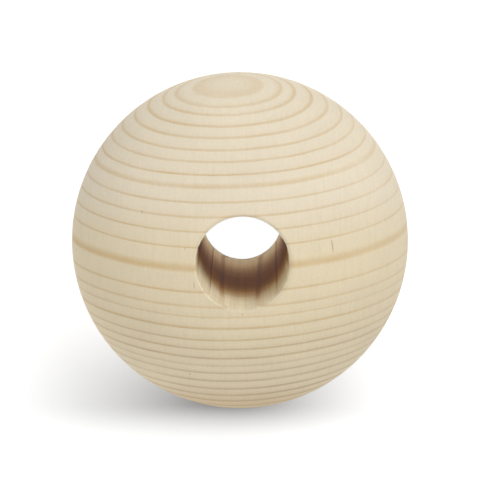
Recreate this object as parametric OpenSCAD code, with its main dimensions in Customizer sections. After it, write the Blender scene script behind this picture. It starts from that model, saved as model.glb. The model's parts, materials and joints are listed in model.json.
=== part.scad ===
// A large turned wooden bead: one solid ball of softwood with a bore drilled
// right through it and a small rounding at each mouth of the bore.
//
// Frame: the origin is the centre of the ball, and +Z runs along the bore. The
// drill ran a little to the +X side of the centre. The bead stands on the rim of
// its lower mouth.

/* [Ball] */
// Diameter of the turned ball
ball_d = 70; // [40:1:120]

/* [Bore] */
// Diameter of the drilled bore
bore_d = 18; // [6:0.5:24]
// Distance from the ball's centre to the bore's axis, towards +X
bore_offset = 0.5; // [0:0.1:0.8]

/* [Edges] */
// Radius of the rounding at each mouth of the bore
lip_r = 0.5; // [0.3:0.1:2]
// Angle left between the rounding and the faces that it joins
lip_break = 15; // [10:1:25]

/* [Quality] */
// Number of flats in a full circle of the preview
segments = 180; // [60:12:360]

/* [Hidden] */

$fn = segments;
ball_r = ball_d / 2;
bore_r = bore_d / 2;

// How deep the centre of the rounding lies under the bore's wall and under the
// ball's surface. It is a little less than the rounding's radius, so the
// rounding crosses both faces instead of just touching them.
lip_depth = lip_r * cos(lip_break);

// Place of the rounding's centre in the half section of the ball
lip_x = bore_r + lip_depth;
lip_z = sqrt(pow(ball_r - lip_depth, 2) - pow(lip_x, 2));

// The rim of a mouth is square to the line from the ball's centre to the middle
// of the mouth, which leans over because the bore is off the centre.
mouth_lean = atan(bore_offset / lip_z);

// How far a cutter stands clear of the wood that it leaves
clear = 1;

// Half section of the ring that is cut from one mouth, on the +Z side. It fills
// the corner between the bore and the ball, as far as the rounding and the line
// that runs from the ball's centre out through the rounding's centre.
module lip_section() {
    reach = (ball_r + clear) / (ball_r - lip_depth);
    difference() {
        polygon([
            [lip_x, lip_z],
            [lip_x, lip_z] * reach,
            [bore_r - clear, lip_z * reach],
            [bore_r - clear, lip_z]
        ]);
        translate([lip_x, lip_z]) circle(r = lip_r);
    }
}

module bead() {
    color([0.87, 0.79, 0.65])
        difference() {
            sphere(r = ball_r);
            translate([bore_offset, 0, 0])
                cylinder(h = ball_d + 2 * clear, r = bore_r, center = true);
            for (end = [0, 1])
                mirror([0, 0, end])
                    rotate([0, mouth_lean, 0])
                        rotate_extrude()
                            lip_section();
        }
}

bead();
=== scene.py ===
"""Looks of the turned wooden bead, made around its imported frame.

The bead is one piece: a ball of pale softwood with a bore drilled through it. The
script turns its surface with Geometry Nodes from the sizes in the frame, and
colours it with one wood finish, in which the growth rings, the fibres, the rays
and the drilled bore are all read from the place of a point in the timber.

Frame: metres, with the origin at the ball's centre and +Z along the bore.
"""

import json
import logging
import math
from dataclasses import dataclass
from enum import Enum
from typing import Any, Callable, Mapping, Sequence, Union

import bpy
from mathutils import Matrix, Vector


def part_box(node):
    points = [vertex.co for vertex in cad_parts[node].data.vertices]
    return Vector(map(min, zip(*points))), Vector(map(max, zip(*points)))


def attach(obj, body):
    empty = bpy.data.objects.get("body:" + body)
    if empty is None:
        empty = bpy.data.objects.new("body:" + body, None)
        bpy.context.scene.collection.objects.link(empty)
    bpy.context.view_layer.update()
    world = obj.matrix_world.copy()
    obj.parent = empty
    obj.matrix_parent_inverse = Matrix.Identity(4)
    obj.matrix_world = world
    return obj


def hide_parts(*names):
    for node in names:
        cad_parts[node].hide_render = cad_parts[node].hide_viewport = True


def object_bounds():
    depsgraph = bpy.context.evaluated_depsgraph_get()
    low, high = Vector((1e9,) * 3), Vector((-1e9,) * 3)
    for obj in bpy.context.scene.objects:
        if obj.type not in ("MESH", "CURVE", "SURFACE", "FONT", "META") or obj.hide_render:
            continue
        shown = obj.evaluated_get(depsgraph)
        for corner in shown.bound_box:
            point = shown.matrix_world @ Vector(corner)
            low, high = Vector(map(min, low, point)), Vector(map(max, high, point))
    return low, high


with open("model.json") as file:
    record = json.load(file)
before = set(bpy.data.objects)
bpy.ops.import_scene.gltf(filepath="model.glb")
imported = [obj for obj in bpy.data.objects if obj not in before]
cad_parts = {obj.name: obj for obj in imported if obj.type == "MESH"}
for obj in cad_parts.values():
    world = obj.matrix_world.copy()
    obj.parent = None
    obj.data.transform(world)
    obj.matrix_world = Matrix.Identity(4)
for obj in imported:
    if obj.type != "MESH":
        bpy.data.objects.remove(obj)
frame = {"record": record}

LOG = logging.getLogger("bead")
CAD_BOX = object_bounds()
MM = 0.001
WHITE = (1.0, 1.0, 1.0, 1.0)
Triple = tuple[float, float, float]
# Where a change starts, and where it is complete.
Span = tuple[float, float]

# Roughness of the Noise Texture, the middle of its values and what brings them
# mostly within -1 and 1.
NOISE_ROUGHNESS = 0.55
NOISE_MIDDLE = 0.5
NOISE_SPREAD = 4.0
# The Mix node's sockets when it mixes colours.
MIX_SHARE, MIX_FIRST, MIX_SECOND, MIX_RESULT = 0, 6, 7, 2


# ---- Node trees written as Python expressions ----


def operator(operation: str, swapped: bool = False) -> Callable[["Wire", "Value"], "Wire"]:
    """Makes a method of Wire for an operator.

    Args:
        operation: The Math node's operation.
        swapped: Whether the other value comes first.

    Returns:
        The method.
    """

    def method(this: "Wire", other: "Value") -> "Wire":
        """The operation's result for two values."""
        return this.net.math(operation, *((other, this) if swapped else (this, other)))

    return method


class Wire:
    """A value on its way through a node tree, which Python arithmetic can use."""

    def __init__(self, net: "Net", socket: bpy.types.NodeSocket) -> None:
        """Wraps an output socket of a tree."""
        self.net = net
        self.socket = socket

    __add__ = operator("ADD")
    __radd__ = operator("ADD", swapped=True)
    __sub__ = operator("SUBTRACT")
    __rsub__ = operator("SUBTRACT", swapped=True)
    __mul__ = operator("MULTIPLY")
    __truediv__ = operator("DIVIDE")
    __pow__ = operator("POWER")

    def __neg__(self) -> "Wire":
        """This value with its sign turned."""
        return self * -1.0


Value = Union[Wire, float]


class Net:
    """A node tree under construction, of a material or of Geometry Nodes."""

    def __init__(self, tree: bpy.types.NodeTree) -> None:
        """Takes over an empty tree."""
        self.tree = tree

    def node(
        self,
        kind: str,
        settings: Mapping[str, Any] | None = None,
        inputs: Mapping[Union[str, int], Any] | None = None,
    ) -> bpy.types.Node:
        """Adds a node.

        Args:
            kind: The node's type, as Blender names it.
            settings: The node's own properties, set before its sockets.
            inputs: A value, or a Wire to link, for each input's name or number.

        Returns:
            The new node.
        """
        made = self.tree.nodes.new(kind)
        for name, value in (settings or {}).items():
            setattr(made, name, value)
        for key, value in (inputs or {}).items():
            if isinstance(value, Wire):
                self.tree.links.new(value.socket, made.inputs[key])
            else:
                made.inputs[key].default_value = value
        return made

    def out(self, node: bpy.types.Node, key: Union[str, int] = 0) -> Wire:
        """Gives a node's output, named or numbered, as a Wire."""
        return Wire(self, node.outputs[key])

    def math(self, operation: str, *values: Value) -> Wire:
        """Adds a Math node with its inputs in order, and gives its result."""
        made = self.node("ShaderNodeMath", {"operation": operation}, dict(enumerate(values)))
        return self.out(made)

    def vector(self, operation: str, *values: Union[Wire, Sequence[float]]) -> Wire:
        """Adds a Vector Math node with its vectors in order, and gives its result."""
        made = self.node("ShaderNodeVectorMath", {"operation": operation}, dict(enumerate(values)))
        return self.out(made)

    def hypot(self, first: Wire, second: Wire) -> Wire:
        """The long side of a right triangle with two given short sides."""
        return self.math("SQRT", first * first + second * second)

    def here(self) -> Wire:
        """The point that is shaded, in the object's own coordinates."""
        return self.out(self.node("ShaderNodeTexCoord"), "Object")

    def in_mm(self, place: Wire) -> Wire:
        """Turns a point in metres into one in millimetres."""
        return self.vector("MULTIPLY", place, (1.0 / MM,) * 3)

    def parts(self, vector: Wire) -> tuple[Wire, Wire, Wire]:
        """Splits a vector into its X, Y and Z."""
        made = self.node("ShaderNodeSeparateXYZ", inputs={0: vector})
        return self.out(made, 0), self.out(made, 1), self.out(made, 2)

    def join(self, x: Value, y: Value, z: Value) -> Wire:
        """Makes a vector of three values."""
        return self.out(self.node("ShaderNodeCombineXYZ", inputs={0: x, 1: y, 2: z}))

    def step(
        self,
        kind: str,
        geometry: bpy.types.Node,
        inputs: Mapping[str, Any] | None = None,
    ) -> bpy.types.Node:
        """Adds a node that takes a geometry from another node and changes it."""
        return self.node(kind, inputs={"Geometry": self.out(geometry), **(inputs or {})})

    def ramp(self, value: Value, start: Value, end: Value, smooth: bool = True) -> Wire:
        """Runs from 0 to 1 as a value goes from start to end, and stays there.

        Args:
            value: The value.
            start: Where the result is 0.
            end: Where the result is 1.
            smooth: Whether both ends are eased.

        Returns:
            The result, from 0 to 1.
        """
        settings = {"interpolation_type": "SMOOTHSTEP" if smooth else "LINEAR", "clamp": True}
        inputs = {"Value": value, "From Min": start, "From Max": end}
        return self.out(self.node("ShaderNodeMapRange", settings, inputs), "Result")

    def noise(self, place: Wire, per_mm: Triple, detail: float, seed: float) -> Wire:
        """Smooth noise about 0, mostly within -1 and 1.

        Args:
            place: The point, in millimetres.
            per_mm: How many features there are to a millimetre, along X, Y and Z.
            detail: How many finer layers are added.
            seed: Picks another part of the noise.

        Returns:
            The noise.
        """
        stretched = self.vector("MULTIPLY", place, per_mm)
        moved = self.vector("ADD", stretched, (seed, 2.0 * seed, -seed))
        inputs = {"Vector": moved, "Scale": 1.0, "Detail": detail, "Roughness": NOISE_ROUGHNESS}
        made = self.node("ShaderNodeTexNoise", {"noise_dimensions": "3D"}, inputs)
        return (self.out(made) - NOISE_MIDDLE) * NOISE_SPREAD

    def chance(self, number: Value, seed: float) -> Wire:
        """A fixed random value from 0 to 1 for each whole number, in the seed's series."""
        settings = {"noise_dimensions": "1D"}
        return self.out(self.node("ShaderNodeTexWhiteNoise", settings, {"W": number + seed}), "Value")

    def blend(self, share: Value, first: Any, second: Any, mode: str = "MIX") -> Wire:
        """Mixes two colours.

        Args:
            share: How much of the second there is, from 0 to 1.
            first: A colour, or a Wire that carries one.
            second: A colour, or a Wire that carries one.
            mode: The way of mixing, as the Mix node names it.

        Returns:
            The mixed colour.
        """
        settings = {"data_type": "RGBA", "blend_type": mode, "clamp_result": False}
        inputs = {MIX_SHARE: share, MIX_FIRST: opaque(first), MIX_SECOND: opaque(second)}
        return self.out(self.node("ShaderNodeMix", settings, inputs), MIX_RESULT)

    def tint(self, share: Value, colour: Wire, tint: Triple) -> Wire:
        """Multiplies a colour by a tint, as far as a share from 0 to 1 says."""
        return self.blend(share, colour, self.blend(1.0, colour, tint, "MULTIPLY"))

    def shade(self, colour: Wire, factor: Wire) -> Wire:
        """Multiplies a colour by a number."""
        return self.blend(1.0, colour, self.join(factor, factor, factor), "MULTIPLY")


def opaque(colour: Any) -> Any:
    """Gives a colour of three numbers its fourth, and leaves a Wire as it is."""
    return colour if isinstance(colour, Wire) else (*colour, 1.0)


def new_net(owner: Union[bpy.types.Material, bpy.types.World]) -> Net:
    """Empties the node tree of a material or a world.

    Args:
        owner: The material or the world.

    Returns:
        Its tree, ready for nodes.
    """
    owner.use_nodes = True
    owner.node_tree.nodes.clear()
    return Net(owner.node_tree)


def new_object(name: str, data: bpy.types.ID) -> bpy.types.Object:
    """Adds an object to the scene.

    Args:
        name: Its name.
        data: Its mesh, lamp or camera.

    Returns:
        The object.
    """
    made = bpy.data.objects.new(name, data)
    bpy.context.scene.collection.objects.link(made)
    return made


# ---- The timber: where the rings run ----


@dataclass(frozen=True)
class Grain:
    """A layer of noise in the wood.

    Attributes:
        per_mm: How many features there are to a millimetre, along X, Y and Z.
        detail: How many finer layers are added.
        seed: Picks another part of the noise.
        strength: What the noise is multiplied by.
    """

    per_mm: Triple
    detail: float
    seed: float
    strength: float

    def at(self, net: Net, place: Wire) -> Wire:
        """Reads the layer at a point given in millimetres."""
        return net.noise(place, self.per_mm, self.detail, self.seed) * self.strength


@dataclass(frozen=True)
class Spell:
    """A run of years in which the tree grew at one rate.

    Attributes:
        years: How many rings there are.
        width: The width of each, in millimetres.
    """

    years: int
    width: float


@dataclass(frozen=True)
class OddRing:
    """A latewood line that differs from the common run.

    Attributes:
        year: Its number, counted from the first spell's start.
        thickness: Its thickness in millimetres.
        strength: Its darkness, where 1 is the common run's.
        softness: How much further than a common line's its edge reaches on either
            side, in millimetres.
    """

    year: int
    thickness: float
    strength: float
    softness: float = 0.0


@dataclass(frozen=True)
class RingReading:
    """What the growth rings are at a point of the timber.

    Attributes:
        line: The number of the nearest latewood line.
        before: The distance to that line on the heart's side, in millimetres.
            Past the line, on the bark's side, it is negative.
    """

    line: Wire
    before: Wire


@dataclass(frozen=True)
class WallShift:
    """How far the rings shift inside the ball, which only shows on the bore's wall.

    All lengths are in millimetres.

    Attributes:
        depth: Heights over which the shift sets in under a mouth.
        near: Distances from the bore's wall over which it sets in.
        sides: Places along Y over which the bark's side passes into the heart's.
        heart_side: The shift on the heart's side.
        bark_side: The shift on the bark's side, for each millimetre along X.
    """

    depth: Span = (33.2, 30.0)
    near: Span = (0.8, 0.1)
    sides: Span = (-8.0, -5.8)
    heart_side: float = 1.35
    bark_side: float = 0.115


@dataclass(frozen=True)
class Timber:
    """The piece of tree that the bead was cut from. The fibres run along the bore.

    The rings are arcs round the tree's heart, which a swelling on the trunk bends.
    The swelling's numbers are shares of the ball's radius. All lengths are in
    millimetres.

    Attributes:
        reach: The ball's radius.
        bore_x: Distance of the bore's axis from the ball's centre.
        bore_r: Radius of the bore.
        heart: Place of the tree's heart in the XY plane.
        lean: How far the rings lean towards +Z in the middle of the ball, and how
            that grows towards the heart and with the square of the way there.
        twist: How the lean changes along X.
        skew: How much more the rings curve on one side than on the other.
        spread: How much more they curve towards the heart.
        shear: How the rings close up along X.
        wall: How they shift on the bore's wall.
        wander: How they wander off their course over a long way.
        ripple: How they wander over a short way.
        first_line: Place of latewood line 0, measured from the ball's centre
            towards the heart.
        spells: The growth, from line 0 towards the bark.
        common_thickness: Thickness of a common latewood line.
        odd_rings: The lines that differ from the common run.
    """

    reach: float
    bore_x: float
    bore_r: float
    heart: tuple[float, float] = (-16.0, 215.0)
    lean: Triple = (0.040, 0.205, 0.175)
    twist: float = 0.033
    skew: float = 0.032
    spread: float = 0.076
    shear: float = -0.016
    wall: WallShift = WallShift()
    wander: Grain = Grain((0.045, 0.045, 0.02), detail=1.0, seed=3.0, strength=0.12)
    ripple: Grain = Grain((0.3, 0.3, 0.06), detail=1.0, seed=11.0, strength=0.036)
    first_line: float = 39.2
    spells: tuple[Spell, ...] = (
        Spell(1, 2.60), Spell(2, 1.27), Spell(1, 2.00), Spell(1, 2.25),
        Spell(2, 2.52), Spell(2, 2.87), Spell(3, 3.37), Spell(1, 3.66),
        Spell(1, 5.40), Spell(1, 4.90), Spell(1, 3.30), Spell(1, 2.20),
        Spell(2, 2.58), Spell(2, 2.06), Spell(2, 1.68), Spell(2, 1.94),
        Spell(8, 1.75),
    )
    common_thickness: float = 0.40
    odd_rings: tuple[OddRing, ...] = (
        OddRing(year=1, thickness=0.6, strength=0.5),
        OddRing(year=2, thickness=0.3, strength=0.7),
        OddRing(year=8, thickness=0.45, strength=1.3),
        OddRing(year=9, thickness=0.9, strength=1.0, softness=0.15),
        OddRing(year=14, thickness=1.7, strength=1.6, softness=0.45),
        OddRing(year=16, thickness=0.4, strength=0.75),
        OddRing(year=17, thickness=0.35, strength=0.65),
        OddRing(year=22, thickness=0.35, strength=0.55),
        OddRing(year=23, thickness=0.35, strength=0.8),
        OddRing(year=24, thickness=0.4, strength=0.8),
    )

    def rings(self, net: Net, place: Wire) -> RingReading:
        """Reads the growth rings at a point.

        Args:
            net: The node tree.
            place: The point, in millimetres.

        Returns:
            The nearest latewood line and the distance to it.
        """
        x, y, z = net.parts(place)
        radius = net.hypot(x - self.heart[0], y - self.heart[1])
        u, v, w = x / self.reach, y / self.reach, z / self.reach
        base, growth, more = self.lean
        leaning = w * (base + v * (growth + v * more) + u * self.twist)
        bending = u * (u * u * self.skew + u * v * self.spread + v * self.shear)
        swelling = (leaning + bending) * self.reach + self._inside(net, place)
        course = math.hypot(*self.heart) - radius + swelling
        height = course + self.wander.at(net, place) + self.ripple.at(net, place)

        year: Value = 0.0
        width: Value = self.spells[0].width
        top = self.first_line
        for number, spell in enumerate(self.spells):
            bottom = top - spell.years * spell.width
            year = year + net.ramp(height, top, bottom, smooth=False) * float(spell.years)
            if number:
                step = spell.width - self.spells[number - 1].width
                width = width + net.math("LESS_THAN", height, top) * step
            top = bottom
        line = net.math("ROUND", year)
        return RingReading(line=line, before=(line - year) * width)

    def _inside(self, net: Net, place: Wire) -> Wire:
        """How the rings shift inside the ball, which only shows on the bore's wall.

        Args:
            net: The node tree.
            place: The point, in millimetres.

        Returns:
            The shift, in millimetres.
        """
        x, y, z = net.parts(place)
        deep = net.ramp(net.math("ABSOLUTE", z), *self.wall.depth)
        on_wall = self.near_bore(net, x, y, self.wall.near)
        heart_side = net.ramp(y, *self.wall.sides)
        shift = heart_side * self.wall.heart_side + (1.0 - heart_side) * x * self.wall.bark_side
        return deep * on_wall * shift

    def near_bore(self, net: Net, x: Wire, y: Wire, reach: Span) -> Wire:
        """Runs from 0 to 1 over a span of distances outside the bore's wall."""
        from_axis = net.hypot(x - self.bore_x, y)
        return net.ramp(from_axis, self.bore_r + reach[0], self.bore_r + reach[1])

    def odd(self, net: Net, line: Wire, common: float, name: str) -> Wire:
        """Looks up a value of the nearest latewood line.

        Args:
            net: The node tree.
            line: The line's number.
            common: The value on the common run.
            name: The field of OddRing that holds the others.

        Returns:
            The value.
        """
        margin = 0.1
        result: Value = common
        for ring in self.odd_rings:
            is_it = net.math("COMPARE", line, float(ring.year), margin)
            result = result + is_it * (getattr(ring, name) - common)
        return result


@dataclass(frozen=True)
class Latewood:
    """How the latewood lines are drawn.

    A line fades in slowly on the heart's side and ends sharply on the bark's. All
    lengths are in millimetres.

    Attributes:
        edge: Distances from a line over which it sets in from the bark's side.
        body: Darkness of a line's body.
        body_end: Distances over which the body fades on the heart's side, as shares
            of the line's thickness.
        tail: Darkness of the tail that a line has on the heart's side.
        tail_fall: How fast the tail fades, for each millimetre.
        thickness_luck: The least that chance leaves of a line's thickness, and how
            much more it may leave.
        strength_luck: The same for its darkness.
        luck_seeds: The seeds of the two.
        bark_gain: How dark the lines are on the bark's side, where 1 is the common.
        heart_loss: How much of that they lose on the heart's side.
        heart_y: Places along Y over which they lose it.
        far_loss: How much they pale towards +X.
        far_x: Places along X over which they do.
        steady: Darkness of a line along its run, on the whole.
        unsteady: How that varies along the run.
    """

    edge: Span = (-0.14, 0.1)
    body: float = 0.40
    body_end: Span = (0.5, 1.5)
    tail: float = 0.24
    tail_fall: float = 1.5
    thickness_luck: tuple[float, float] = (0.8, 0.4)
    strength_luck: tuple[float, float] = (0.85, 0.3)
    luck_seeds: tuple[float, float] = (0.5, 40.5)
    bark_gain: float = 1.5
    heart_loss: float = 0.45
    heart_y: Span = (-22.0, 6.0)
    far_loss: float = 0.34
    far_x: Span = (8.0, 30.0)
    steady: float = 0.85
    unsteady: Grain = Grain((0.12, 0.3, 0.03), detail=2.0, seed=7.0, strength=0.22)

    def darkness(self, net: Net, timber: Timber, rings: RingReading, place: Wire) -> Wire:
        """How dark the latewood is at a point.

        Args:
            net: The node tree.
            timber: Where the growth rings run.
            rings: The rings at the point.
            place: The point, in millimetres.

        Returns:
            The darkness, from 0 to about 1.
        """
        x, y, _ = net.parts(place)
        thick = timber.odd(net, rings.line, timber.common_thickness, "thickness")
        strength = timber.odd(net, rings.line, 1.0, "strength")
        soft = timber.odd(net, rings.line, 0.0, "softness")
        (thick_least, thick_more), (strong_least, strong_more) = self.thickness_luck, self.strength_luck
        thick_seed, strong_seed = self.luck_seeds
        thick = thick * (thick_least + net.chance(rings.line, thick_seed) * thick_more)
        strength = strength * (strong_least + net.chance(rings.line, strong_seed) * strong_more)
        strength = strength * (self.bark_gain - net.ramp(y, *self.heart_y) * self.heart_loss)
        strength = strength * (1.0 - net.ramp(x, *self.far_x) * self.far_loss)

        edge_start, edge_end = self.edge
        edge = net.ramp(rings.before, edge_start - soft, edge_end + soft)
        body_start, body_end = self.body_end
        body = 1.0 - net.ramp(rings.before, thick * body_start, thick * body_end)
        tail = net.math("EXPONENT", net.math("MAXIMUM", rings.before, 0.0) * -self.tail_fall)
        run = self.steady + self.unsteady.at(net, place)
        return edge * (body * self.body + tail * self.tail) * strength * run


# ---- The finish ----


@dataclass(frozen=True)
class BoreBrowningAndPaintedLight:
    """The browning that the drill left on the bore's wall, with painted light by the upper mouth and
    painted shade deeper in the bore.

    Each pair of heights, in millimetres from the ball's centre, says where a tint
    starts and where it is complete, from above (top) or from below (foot).

    Attributes:
        clean_cut_and_painted_light: Paler tint by the upper mouth, partly clean-cut wood and partly
            painted light where the lamps reach into the bore.
        clean_cut_and_painted_light_z: Its heights.
        toasted_and_painted_shade: Tint of the wall below that, partly browning where the drill began to
            heat it and partly painted shade where the lamps' light stops.
        toasted_and_painted_shade_top: Its upper heights.
        toasted_and_painted_shade_foot: Its lower heights.
        late_by: How much lower that tint starts at the -X side, where the key lamp's light reaches
            deeper.
        late_x: Places along X for that.
        burnt_and_painted_shade: Further tint of the middle, drill browning and painted shade where the
            bore is darkest.
        burnt_and_painted_shade_top: Its upper heights.
        burnt_and_painted_shade_foot: Its lower heights.
        streaks: Unevenness that runs along the bore.
        turns: Unevenness that runs round it, from turn to turn of the drill.
    """

    clean_cut_and_painted_light: Triple = (1.16, 1.23, 1.32)
    clean_cut_and_painted_light_z: Span = (10.0, 20.0)
    toasted_and_painted_shade: Triple = (0.92, 0.72, 0.48)
    toasted_and_painted_shade_top: Span = (22.8, 11.5)
    toasted_and_painted_shade_foot: Span = (-33.0, -8.0)
    late_by: float = 9.0
    late_x: Span = (-4.0, -8.2)
    burnt_and_painted_shade: Triple = (0.76, 0.59, 0.51)
    burnt_and_painted_shade_top: Span = (16.0, 3.0)
    burnt_and_painted_shade_foot: Span = (-21.0, -1.0)
    streaks: Grain = Grain((1.5, 1.5, 0.03), detail=1.0, seed=51.0, strength=0.06)
    turns: Grain = Grain((0.05, 0.05, 1.5), detail=1.0, seed=57.0, strength=0.08)

    def brown_and_paint_light(self, net: Net, colour: Wire, in_bore: Wire, place: Wire) -> Wire:
        """Browns the bore's wall more and more with the depth under the upper mouth, as drill browning
        and painted shade, and paints light by that mouth.

        Args:
            net: The node tree.
            colour: The wood's colour.
            in_bore: 1 on the bore's wall and 0 outside.
            place: The point, in millimetres.

        Returns:
            The colour with the bore's wall browned, shaded and lit.
        """
        x, _, z = net.parts(place)
        late_z = z + net.ramp(x, *self.late_x) * self.late_by
        # Painted light by the upper mouth, then drill browning with painted shade further down.
        stages = (
            (self.clean_cut_and_painted_light, net.ramp(z, *self.clean_cut_and_painted_light_z)),
            (self.toasted_and_painted_shade, net.ramp(late_z, *self.toasted_and_painted_shade_top) * net.ramp(z, *self.toasted_and_painted_shade_foot)),
            (self.burnt_and_painted_shade, net.ramp(z, *self.burnt_and_painted_shade_top) * net.ramp(z, *self.burnt_and_painted_shade_foot)),
        )
        for tint, reach in stages:
            colour = net.tint(in_bore * reach, colour, tint)
        uneven = self.streaks.at(net, place) + self.turns.at(net, place)
        return net.shade(colour, 1.0 + in_bore * uneven)


@dataclass(frozen=True)
class Tick:
    """A short mark that a tool or a resin duct left on the upper side.

    All lengths are in millimetres.

    Attributes:
        x: Its place along X.
        y: Its place along Y.
        length: Its length.
        lean: Its angle from Y, in degrees.
        strength: Its darkness, from 0 to 1.
    """

    x: float
    y: float
    length: float
    lean: float
    strength: float


@dataclass(frozen=True)
class BareSoftwood:
    """The finish: sanded softwood with no oil or paint on it, with some painted light and shade in its
    tints.

    Each pair of places, heights or distances, in millimetres, says where something
    starts and where it is complete.

    Attributes:
        early: Colour of the pale wood that grows in spring.
        late: Colour of a latewood line.
        outer_late: The same in the narrow rings on the bark's side.
        outer_y: Places along Y for that.
        bore_late: The same on the bore's wall.
        bore_edge: Distances from the wall where its look starts to end and is over.
        bore_gain: How much darker the latewood lines are on the wall.
        mouth_loss: How much they pale towards its upper mouth.
        mouth_z: Heights for that.
        painted_warm_light: Painted warm light over the -Y half of the ball, a tint that stands for the
            warm cast falling there.
        painted_warm_light_y: Places along Y for that.
        bark_tone_and_painted_shade: Tint of the narrow rings on the bark's side, partly their darker
            tone and partly painted shade on the -Y edge of the ball.
        bark_tone_and_painted_shade_y: Places along Y for that.
        painted_rim_shade: How much painted shade darkens the rim of the upper mouth, dulling the key
            lamp's highlight there.
        painted_rim_edge: Distances from the bore's wall for that.
        painted_rim_z: Heights for that.
        lines: How the latewood lines are drawn.
        bore_browning_and_painted_light: The browning of the bore's wall, with painted light and painted
            shade there.
        clouds: The pale wood's unevenness over a long way.
        fibres: Its unevenness along the fibres.
        rays: Its unevenness along the rays, which run towards the heart.
        mark: Tint of a small mark.
        mark_half: Half the width of a mark.
        mark_edge: Where a mark ends, in squares of the way from its middle to its
            outline.
        ticks: The small marks on the upper side.
        line_height: How far a dark latewood line stands out in the bump.
        pores: The pores' part in the bump.
        bump_strength: Strength of the bump.
        bump_depth: What a height of 1 comes to in it.
        roughness: Roughness of the sanded face.
        bore_rough: How much rougher the bore's wall is.
        line_smooth: How much smoother a dark latewood line is.
        gloss: The shader's specular level.
    """

    early: Triple = (0.82, 0.722, 0.558)
    late: Triple = (0.645, 0.457, 0.212)
    outer_late: Triple = (0.575, 0.445, 0.280)
    outer_y: Span = (-8.0, -20.0)
    bore_late: Triple = (0.52, 0.32, 0.17)
    bore_edge: Span = (0.05, 0.25)
    bore_gain: float = 0.9
    mouth_loss: float = 1.3
    mouth_z: Span = (16.0, 28.0)
    painted_warm_light: Triple = (0.985, 0.957, 0.868)
    painted_warm_light_y: Span = (14.0, 0.0)
    bark_tone_and_painted_shade: Triple = (0.77, 0.66, 0.53)
    bark_tone_and_painted_shade_y: Span = (-25.0, -35.0)
    painted_rim_shade: float = 0.06
    painted_rim_edge: Span = (0.8, 0.5)
    painted_rim_z: Span = (33.0, 33.4)
    lines: Latewood = Latewood()
    bore_browning_and_painted_light: BoreBrowningAndPaintedLight = BoreBrowningAndPaintedLight()
    clouds: Grain = Grain((0.07, 0.1, 0.02), detail=2.0, seed=31.0, strength=0.03)
    fibres: Grain = Grain((2.4, 2.4, 0.08), detail=2.0, seed=5.0, strength=0.03)
    rays: Grain = Grain((1.9, 0.16, 0.5), detail=1.0, seed=17.0, strength=0.02)
    mark: Triple = (0.55, 0.47, 0.38)
    mark_half: float = 0.16
    mark_edge: Span = (0.3, 1.2)
    ticks: tuple[Tick, ...] = (
        Tick(x=17.7, y=3.0, length=2.8, lean=8.0, strength=0.6),
        Tick(x=-8.7, y=-4.1, length=1.6, lean=5.0, strength=0.4),
        Tick(x=-10.5, y=2.8, length=0.8, lean=5.0, strength=0.3),
        Tick(x=0.5, y=-9.7, length=0.7, lean=0.0, strength=0.35),
        Tick(x=-18.8, y=9.3, length=0.8, lean=10.0, strength=0.4),
        Tick(x=-9.9, y=-23.3, length=0.7, lean=40.0, strength=0.5),
        Tick(x=-13.6, y=-9.3, length=0.4, lean=0.0, strength=0.25),
        Tick(x=-13.6, y=-10.7, length=0.4, lean=0.0, strength=0.25),
    )
    line_height: float = 0.35
    pores: Grain = Grain((3.0, 3.0, 0.15), detail=2.0, seed=21.0, strength=0.12)
    bump_strength: float = 0.35
    bump_depth: float = 0.06
    roughness: float = 0.60
    bore_rough: float = 0.12
    line_smooth: float = 0.05
    gloss: float = 0.2

    def material(self, timber: Timber) -> bpy.types.Material:
        """Builds the material.

        Args:
            timber: Where the growth rings and the bore run.

        Returns:
            The material.
        """
        made = bpy.data.materials.new("bare_softwood")
        net = new_net(made)
        place = net.in_mm(net.here())
        x, y, z = net.parts(place)
        in_bore = 1.0 - timber.near_bore(net, x, y, self.bore_edge)
        darkness = self.lines.darkness(net, timber, timber.rings(net, place), place)
        contrast = self.bore_gain - net.ramp(z, *self.mouth_z) * self.mouth_loss
        darkness = darkness * (1.0 + in_bore * contrast)

        colour = self._wood(net, y, in_bore, darkness)
        colour = net.shade(colour, self._figure(net, place))
        # Drill browning on the bore's wall, with painted light by the upper mouth and painted shade
        # deeper in.
        colour = self.bore_browning_and_painted_light.brown_and_paint_light(net, colour, in_bore, place)
        # Painted shade on the rim of the upper mouth.
        rim = timber.near_bore(net, x, y, self.painted_rim_edge) * net.ramp(z, *self.painted_rim_z)
        colour = net.shade(colour, 1.0 - rim * self.painted_rim_shade)
        marks = self._marks(net, place)
        colour = net.tint(marks, colour, self.mark)

        height = darkness * self.line_height + self.pores.at(net, place) - marks
        swing = {"Strength": self.bump_strength, "Distance": self.bump_depth * MM}
        bump = net.node("ShaderNodeBump", inputs={"Height": height, **swing})
        rough = self.roughness + in_bore * self.bore_rough - darkness * self.line_smooth
        looks = {"Base Color": colour, "Roughness": rough, "Specular IOR Level": self.gloss}
        shader = net.node("ShaderNodeBsdfPrincipled", inputs={"Normal": net.out(bump), **looks})
        net.node("ShaderNodeOutputMaterial", inputs={"Surface": net.out(shader)})
        return made

    def _wood(self, net: Net, y: Wire, in_bore: Wire, darkness: Wire) -> Wire:
        """Colours the pale wood and the latewood, with painted warm light and painted shade towards -Y.

        Args:
            net: The node tree.
            y: The point's Y, in millimetres.
            in_bore: 1 on the bore's wall and 0 outside.
            darkness: How dark the latewood is.

        Returns:
            The colour.
        """
        late = net.blend(net.ramp(y, *self.outer_y), self.late, self.outer_late)
        late = net.blend(in_bore, late, self.bore_late)
        colour = net.blend(net.math("MINIMUM", darkness, 1.0), self.early, late)
        # Painted warm light over the -Y half.
        colour = net.tint(net.ramp(y, *self.painted_warm_light_y), colour, self.painted_warm_light)
        # The bark's darker tone, with painted shade, at the -Y edge.
        return net.tint(net.ramp(y, *self.bark_tone_and_painted_shade_y), colour, self.bark_tone_and_painted_shade)

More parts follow.
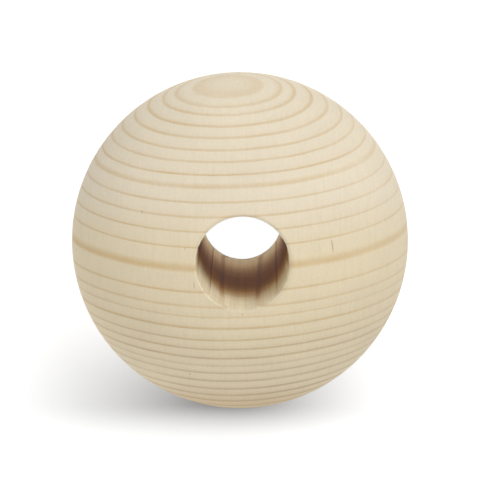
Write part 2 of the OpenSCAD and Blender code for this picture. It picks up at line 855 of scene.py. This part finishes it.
    def _figure(self, net: Net, place: Wire) -> Wire:
        """The pale wood's own unevenness: clouds, fibres and rays.

        Args:
            net: The node tree.
            place: The point, in millimetres.

        Returns:
            A factor about 1.
        """
        result: Value = 1.0
        for layer in (self.clouds, self.fibres, self.rays):
            result = result + layer.at(net, place)
        return result

    def _marks(self, net: Net, place: Wire) -> Wire:
        """Where the small marks lie.

        Args:
            net: The node tree.
            place: The point, in millimetres.

        Returns:
            From 0 on clear wood to 1 in a mark.
        """
        x, y, z = net.parts(place)
        result: Value = 0.0
        for tick in self.ticks:
            turn = math.radians(tick.lean)
            right, up = x - tick.x, y - tick.y
            along = right * -math.sin(turn) + up * math.cos(turn)
            across = right * math.cos(turn) + up * math.sin(turn)
            way = (along / (tick.length / 2)) ** 2.0 + (across / self.mark_half) ** 2.0
            result = result + (1.0 - net.ramp(way, *self.mark_edge)) * tick.strength
        return result * net.math("GREATER_THAN", z, 0.0)


# ---- The bead's surface ----


@dataclass
class Bead:
    """The bead: a turned ball with a bore through it and a rounding at each mouth.

    The lengths are in millimetres.

    Attributes:
        ball_d: Diameter of the ball.
        bore_d: Diameter of the bore.
        bore_x: Place of the bore's axis along X.
        lip_r: Radius of the rounding at each mouth.
        around: Number of faces around the bore.
        ball_rows: Number of faces from mouth to mouth over the ball.
        lip_rows: Number of faces over a rounding.
        bore_rows: Number of faces along the bore.
        relief: How far the pale wood is sanded hollow between two latewood
            lines.
        relief_reach: Distances from a line over which that sets in.
        weld: How near the sheet's edges lie where they are joined, in metres.
    """

    ball_d: float
    bore_d: float
    bore_x: float
    lip_r: float = 0.5
    around: int = 360
    ball_rows: int = 190
    lip_rows: int = 8
    bore_rows: int = 62
    relief: float = 0.025
    relief_reach: Span = (0.2, 1.1)
    weld: float = 1e-6

    @classmethod
    def from_frame(cls) -> "Bead":
        """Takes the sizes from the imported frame.

        Returns:
            A bead of those sizes.
        """
        low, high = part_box("bead")
        bore = next(mount for mount in frame["record"]["mounts"] if mount["name"] == "bore")
        return cls(
            ball_d=round((high.x - low.x) / MM, 1),
            bore_d=2.0 * bore["dims"]["r_mm"],
            bore_x=bore["pos_m"][0] / MM,
        )

    def build(self, timber: Timber, wood: bpy.types.Material) -> bpy.types.Object:
        """Turns the bead's surface and gives it its finish.

        Args:
            timber: Where the growth rings run, for the relief between them.
            wood: The finish.

        Returns:
            The finished piece.
        """
        tree = self._tree(timber, wood)
        blank = new_object("bead_blank", bpy.data.meshes.new("bead_blank"))
        modifier = blank.modifiers.new("turning", "NODES")
        modifier.node_group = tree
        sizes = self._sizes()
        for item in tree.interface.items_tree:
            if item.name in sizes:
                modifier[item.identifier] = sizes[item.name]
        depsgraph = bpy.context.evaluated_depsgraph_get()
        mesh = bpy.data.meshes.new_from_object(blank.evaluated_get(depsgraph))
        bpy.data.objects.remove(blank)
        mesh.name = "turned_bead"
        return new_object("turned_bead", mesh)

    def _sizes(self) -> dict[str, float]:
        """The tree's inputs by name, each with its value in metres."""
        return {
            "Ball diameter": self.ball_d * MM,
            "Bore diameter": self.bore_d * MM,
            "Bore offset": self.bore_x * MM,
            "Lip radius": self.lip_r * MM,
            "Relief": self.relief * MM,
        }

    def _tree(self, timber: Timber, wood: bpy.types.Material) -> bpy.types.NodeTree:
        """Builds the Geometry Nodes tree that turns the bead.

        Args:
            timber: Where the growth rings run.
            wood: The finish.

        Returns:
            The tree.
        """
        tree = bpy.data.node_groups.new("turned_bead", "GeometryNodeTree")
        net = Net(tree)
        for name in self._sizes():
            tree.interface.new_socket(name=name, in_out="INPUT", socket_type="NodeSocketFloat")
        tree.interface.new_socket(name="Bead", in_out="OUTPUT", socket_type="NodeSocketGeometry")
        given = net.node("NodeGroupInput")
        position = net.out(net.node("GeometryNodeInputPosition"))

        # A flat sheet of 1 by 1 about the origin, with a column of faces for each
        # step around the bore.
        rows = self.bore_rows + 2 * self.lip_rows + self.ball_rows
        counts = {"Vertices X": self.around + 1, "Vertices Y": rows + 1}
        sheet = net.node("GeometryNodeMeshGrid", inputs={"Size X": 1.0, "Size Y": 1.0, **counts})
        u, v, _ = net.parts(position)
        surface = self._surface(net, given, (u + 0.5) * math.tau, (v + 0.5) * float(rows))
        turned = net.step("GeometryNodeSetPosition", sheet, {"Position": surface})
        welded = net.step("GeometryNodeMergeByDistance", turned, {"Distance": self.weld})

        rings = timber.rings(net, net.in_mm(position))
        hollow = net.ramp(net.math("ABSOLUTE", rings.before), *self.relief_reach)
        depth = -(hollow * net.out(given, "Relief"))
        normal = net.out(net.node("GeometryNodeInputNormal"))
        offset = net.vector("MULTIPLY", normal, net.join(depth, depth, depth))
        sanded = net.step("GeometryNodeSetPosition", welded, {"Offset": offset})
        smooth = net.step("GeometryNodeSetShadeSmooth", sanded)
        whole = net.step("GeometryNodeRealizeInstances", smooth)
        dressed = net.step("GeometryNodeSetMaterial", whole, {"Material": wood})
        net.node("NodeGroupOutput", inputs={0: net.out(dressed)})
        return tree

    def _surface(self, net: Net, given: bpy.types.Node, turn: Wire, row: Wire) -> Wire:
        """Places a point of the sheet on the bead's surface.

        The rows go up the bore, over the upper rounding, down the ball and over
        the lower rounding. Each part adds the way from its start, so a row that
        lies past a part has that part's whole way in it.

        Args:
            net: The node tree.
            given: The node that holds the tree's inputs.
            turn: The angle around the bore.
            row: The row's number.

        Returns:
            The point.
        """
        ball_r = net.out(given, "Ball diameter") * 0.5
        bore_r = net.out(given, "Bore diameter") * 0.5
        offset = net.out(given, "Bore offset")
        lip_r = net.out(given, "Lip radius")
        cosine = net.math("COSINE", turn)
        sine = net.math("SINE", turn)

        # The ball's section in the half plane at this angle: its centre and radius.
        centre = -(offset * cosine)
        aside = offset * sine
        section_r = net.math("SQRT", ball_r * ball_r - aside * aside)
        # The rounding's centre in that plane, and its angle there.
        inner = section_r - lip_r
        across = bore_r + lip_r - centre
        lip_z = net.math("SQRT", inner * inner - across * across)
        edge = net.math("ARCTAN2", lip_z, across)

        # How far along each part the row is, from 0 to 1.
        shares: list[Wire] = []
        start = 0.0
        for rows in (self.bore_rows, self.lip_rows, self.ball_rows, self.lip_rows):
            shares.append(net.ramp(row, start, start + rows, smooth=False))
            start += rows
        bore_share, upper_share, ball_share, lower_share = shares

        # The angle that each arc has reached.
        upper = math.pi - upper_share * (math.pi - edge)
        over = edge * (1.0 - ball_share * 2.0)
        lower = -edge - lower_share * (math.pi - edge)
        outwards = (
            bore_r
            + lip_r * (net.math("COSINE", upper) + 1.0)
            + section_r * (net.math("COSINE", over) - net.math("COSINE", edge))
            + lip_r * (net.math("COSINE", lower) - net.math("COSINE", edge))
        )
        upwards = (
            lip_z * (bore_share * 2.0 - 1.0)
            + lip_r * net.math("SINE", upper)
            + section_r * (net.math("SINE", over) - net.math("SINE", edge))
            + lip_r * (net.math("SINE", lower) + net.math("SINE", edge))
        )
        return net.join(offset + outwards * cosine, outwards * sine, upwards)

    def dress(self, piece: bpy.types.Object) -> None:
        """Puts the piece in the frame in place of the plain solid.

        Args:
            piece: The bead's surface.
        """
        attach(piece, "root")
        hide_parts("bead")


# ---- The studio ----


def seen_rays(net: Net) -> Wire:
    """Tells the rays that see the background: from the camera, in gloss or through glass.

    Args:
        net: The node tree.

    Returns:
        1 on those rays, and 0 on light that falls on the bead.
    """
    path = net.node("ShaderNodeLightPath")
    seen = net.math("MAXIMUM", net.out(path, "Is Camera Ray"), net.out(path, "Is Glossy Ray"))
    return net.math("MAXIMUM", seen, net.out(path, "Is Transmission Ray"))


class Softbox(Enum):
    """The lamps.

    Each value holds a lamp's angle from +Z and its angle round +Z from +X, both in
    degrees, its power in watts and its diameter in metres.
    """

    KEY = (41.0, 62.0, 1.95, 0.36)
    LOW_FILL = (57.0, 236.0, 0.66, 0.27)
    LEFT_FILL = (72.0, 180.0, 0.32, 0.27)
    RIGHT_FILL = (72.0, 312.0, 0.46, 0.27)


@dataclass(frozen=True)
class Floor:
    """A pale floor, with the bead's soft shade drawn into its finish.

    All places and distances are in metres.

    Attributes:
        half: Half the length of its sides.
        pale: How much of the light it gives back.
        seen_loss: How much of that the camera does not see.
        lift: Light that the camera sees it give off where no shade is drawn.
        below_y: Place along Y of the middle of the shade under the bead.
        below_reach: Distances from there over which that shade ends.
        far_lift: Further light that it gives off far from the bead.
        far_reach: Distances from the first shade's middle over which that sets in.
        shade_centre: Middle of the shade beside the bead.
        shade_reach: How far that shade reaches from there to the left, to the right,
            away from the bead and towards it.
        shade_depth: How dark that shade's middle is, where 1 is black.
        shade_fall: How fast it ends towards its outline, where 1 is evenly.
    """

    half: float = 3.0
    pale: float = 0.8
    seen_loss: float = 0.6
    lift: float = 0.85
    below_y: float = -0.0046
    below_reach: Span = (0.012, 0.0385)
    far_lift: float = 0.35
    far_reach: Span = (0.075, 0.150)
    shade_centre: tuple[float, float] = (-0.002, -0.0428)
    shade_reach: tuple[float, float, float, float] = (0.063, 0.047, 0.0100, 0.028)
    shade_depth: float = 1.05
    shade_fall: float = 1.7

    def build(self, floor_z: float) -> None:
        """Lays the floor.

        Args:
            floor_z: Its height, in metres.
        """
        half = self.half
        mesh = bpy.data.meshes.new("floor")
        corners = [(-half, -half), (half, -half), (half, half), (-half, half)]
        mesh.from_pydata([(x, y, floor_z) for x, y in corners], [], [(0, 1, 2, 3)])
        mesh.materials.append(self._paint())
        floor = new_object("floor", mesh)

    def _paint(self) -> bpy.types.Material:
        """Builds the floor's finish.

        Returns:
            The material.
        """
        paint = bpy.data.materials.new("pale_floor")
        net = new_net(paint)
        x, y, _ = net.parts(net.here())
        from_below = net.hypot(x, y - self.below_y)
        below = net.ramp(from_below, *self.below_reach, smooth=False)
        light = (1.0 - net.math("MINIMUM", self._beside(net, x, y), 1.0)) * below
        far = net.ramp(from_below, *self.far_reach)
        seen = seen_rays(net)
        own = 1.0 - seen * self.seen_loss
        matt = net.node("ShaderNodeBsdfDiffuse", inputs={"Color": own * self.pale})
        given = seen * (light * self.lift + far * self.far_lift)
        glow = net.node("ShaderNodeEmission", inputs={"Color": WHITE, "Strength": given})
        both = net.node("ShaderNodeAddShader", inputs={0: net.out(matt), 1: net.out(glow)})
        net.node("ShaderNodeOutputMaterial", inputs={"Surface": net.out(both)})
        return paint

    def _beside(self, net: Net, x: Wire, y: Wire) -> Wire:
        """How dark the shade beside the bead is.

        Args:
            net: The node tree.
            x: The point's X, in metres.
            y: The point's Y, in metres.

        Returns:
            The darkness, where 1 and more is black.
        """
        (centre_x, centre_y), (left, right, away, near) = self.shade_centre, self.shade_reach
        aside, ahead = x - centre_x, y - centre_y
        across = net.math("MAXIMUM", aside / right, aside / -left)
        along = net.math("MAXIMUM", ahead / near, ahead / -away)
        inside = net.ramp(net.hypot(across, along), 1.0, 0.0, smooth=False)
        return inside ** self.shade_fall * self.shade_depth


@dataclass(frozen=True)
class FloorLight:
    """A lit disc in the floor, so that light comes up the bore.

    A low rim round the disc keeps its light from coming out under the bead, and its dark finish is
    painted shade, a contact shade under the bead's lower mouth.

    Attributes:
        overlap: Radius of the disc, as a share of the bore's.
        sides: Number of its sides.
        disc_rise: How far the disc lies above the floor, in millimetres.
        rim_rise: How far the rim stands above it, in millimetres.
        power: Light that the disc gives off at its +Y edge. It fades to nothing
            at its -Y edge.
        rim_pale: How much of the light the rim gives back.
    """

    overlap: float = 1.006
    sides: int = 48
    disc_rise: float = 0.02
    rim_rise: float = 0.22
    power: float = 2.5
    rim_pale: float = 0.1

    def build(self, floor_z: float, bore_r: float, bore_x: float) -> None:
        """Lets the disc into the floor.

        Args:
            floor_z: Height of the floor, in metres.
            bore_r: Radius of the bore, in metres.
            bore_x: Place of the bore's axis along X, in metres.
        """
        radius, sides = self.overlap * bore_r, self.sides
        turns = [math.tau * side / sides for side in range(sides)]
        circle = [(bore_x + radius * math.cos(turn), radius * math.sin(turn)) for turn in turns]
        heights = (floor_z + self.disc_rise * MM, floor_z, floor_z + self.rim_rise * MM)
        points = [(x, y, height) for height in heights for x, y in circle]
        foot, top = sides, 2 * sides
        rim = [
            (foot + side, foot + (side + 1) % sides, top + (side + 1) % sides, top + side)
            for side in range(sides)
        ]
        mesh = bpy.data.meshes.new("glow")
        mesh.from_pydata(points, [], [tuple(range(sides)), *rim])
        mesh.materials.append(self._lit(radius))
        # The rim's dark finish is painted contact shade.
        mesh.materials.append(self._painted_contact_shade())
        for face in mesh.polygons[1:]:
            face.material_index = 1
        disc = new_object("floor_light", mesh)

    def _lit(self, radius: float) -> bpy.types.Material:
        """Builds the disc's finish.

        Args:
            radius: Radius of the disc, in metres.

        Returns:
            The material.
        """
        paint = bpy.data.materials.new("floor_light")
        net = new_net(paint)
        _, y, _ = net.parts(net.here())
        given = net.ramp(y, -radius, radius, smooth=False) * self.power
        strength = given + seen_rays(net) * (1.0 - given)
        glow = net.node("ShaderNodeEmission", inputs={"Color": WHITE, "Strength": strength})
        net.node("ShaderNodeOutputMaterial", inputs={"Surface": net.out(glow)})
        return paint

    def _painted_contact_shade(self) -> bpy.types.Material:
        """Builds the rim's dark finish, which is painted contact shade.

        Returns:
            The material.
        """
        paint = bpy.data.materials.new("floor_light_rim_painted_shade")
        net = new_net(paint)
        colour = opaque((self.rim_pale,) * 3)
        matt = net.node("ShaderNodeBsdfDiffuse", inputs={"Color": colour})
        net.node("ShaderNodeOutputMaterial", inputs={"Surface": net.out(matt)})
        return paint


@dataclass(frozen=True)
class Studio:
    """The floor, the surround, the lamps and the camera.

    Attributes:
        distance: Distance from the camera to the ball's centre, in metres.
        tilt: Angle of the view off the bore's axis, towards +Y, in degrees.
        lens: Focal length in millimetres on a 36 mm frame.
        lamp_distance: Distance of the lamps from the ball's centre, in metres.
        sky: Brightness of the surround, as light on the bead.
        floor: The floor.
        floor_light: The lit disc under the bore.
    """

    distance: float = 0.350
    tilt: float = 7.8
    lens: float = 125.3
    lamp_distance: float = 0.60
    sky: float = 0.38
    floor: Floor = Floor()
    floor_light: FloorLight = FloorLight()

    def build(self, floor_z: float, bore_r: float, bore_x: float) -> None:
        """Sets up the whole studio.

        Args:
            floor_z: Height of the floor, in metres.
            bore_r: Radius of the bore, in metres.
            bore_x: Place of the bore's axis along X, in metres.
        """
        self._world()
        self.floor.build(floor_z)
        self.floor_light.build(floor_z, bore_r, bore_x)
        for lamp in Softbox:
            self._lamp(lamp)
        self._camera()
        bpy.context.scene.view_settings.view_transform = "Standard"

    def _world(self) -> None:
        """Makes a white surround that lights the bead softly."""
        world = bpy.data.worlds.new("studio")
        bpy.context.scene.world = world
        net = new_net(world)
        strength = self.sky + seen_rays(net) * (1.0 - self.sky)
        sky = net.node("ShaderNodeBackground", inputs={"Color": WHITE, "Strength": strength})
        net.node("ShaderNodeOutputWorld", inputs={"Surface": net.out(sky)})

    def _lamp(self, lamp: Softbox) -> None:
        """Hangs a softbox.

        Args:
            lamp: Which one.
        """
        polar, turn, power, size = lamp.value
        data = bpy.data.lights.new(lamp.name.lower(), "AREA")
        data.shape = "DISK"
        data.size = size
        data.energy = power
        out = math.sin(math.radians(polar))
        way = (
            out * math.cos(math.radians(turn)),
            out * math.sin(math.radians(turn)),
            math.cos(math.radians(polar)),
        )
        place = Vector(way) * self.lamp_distance
        made = new_object(lamp.name.lower(), data)
        made.location = place
        made.rotation_euler = (-place).to_track_quat("-Z", "Y").to_euler()

    def _camera(self) -> None:
        """Places the camera and makes it the scene's own."""
        tilt = math.radians(self.tilt)
        data = bpy.data.cameras.new("camera")
        data.lens = self.lens
        camera = new_object("camera", data)
        camera.location = (0.0, self.distance * math.sin(tilt), self.distance * math.cos(tilt))
        camera.rotation_euler = (-tilt, 0.0, 0.0)
        bpy.context.scene.camera = camera




def main() -> None:
    """Builds the bead and the studio."""
    logging.basicConfig(level=logging.INFO, format="%(message)s")
    bead = Bead.from_frame()
    timber = Timber(reach=bead.ball_d / 2, bore_x=bead.bore_x, bore_r=bead.bore_d / 2)
    wood = BareSoftwood().material(timber)
    piece = bead.build(timber, wood)
    bead.dress(piece)
    LOG.info("%s: %d faces", piece.name, len(piece.data.polygons))
    low, _ = CAD_BOX
    Studio().build(floor_z=low[2], bore_r=bead.bore_d / 2 * MM, bore_x=bead.bore_x * MM)


if __name__ == "__main__":
    main()
